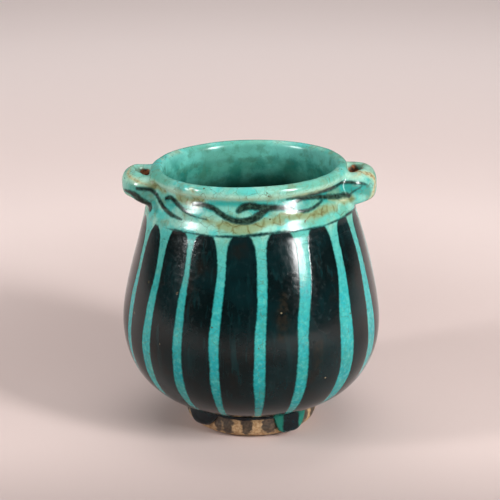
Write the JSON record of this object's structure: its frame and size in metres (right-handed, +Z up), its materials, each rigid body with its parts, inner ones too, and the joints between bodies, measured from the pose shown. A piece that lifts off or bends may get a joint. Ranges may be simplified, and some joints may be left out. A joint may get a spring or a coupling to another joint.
{
  "type": "glazed pot",
  "caption": "Round-bellied glazed pottery jar with a rolled lip, two pierced lug handles at the neck, dark upright panels and a low unglazed foot ring.",
  "frame": {"origin": "centre of the foot ring's underside, on the surface that the pot stands on", "axes": "+Z up along the pot's height, the two lug handles along +X and -X, the front of the picture on -Y"},
  "size_m": [0.1362, 0.1362, 0.1424],
  "materials": {
    "bare_clay": "bare buff clay, rough, with dark brown patches",
    "panelled_glaze": "glossy glaze, blue-black upright panels with turquoise between them",
    "turquoise_glaze": "glossy turquoise glaze with fine brown crazing and a dark painted scroll",
    "thick_glass": "thick glossy dark glass with turquoise edges"
  },
  "bodies": {
    "root": {"foot_ring": "bare_clay", "body": "panelled_glaze", "neck_collar": "turquoise_glaze", "rim_lip": "turquoise_glaze", "handle_left": "turquoise_glaze", "handle_right": "turquoise_glaze", "glaze_run_left": "thick_glass", "glaze_run_right": "thick_glass", "glaze_edge_front": "thick_glass", "glaze_edge_back": "thick_glass"}
  },
  "joints": []
}
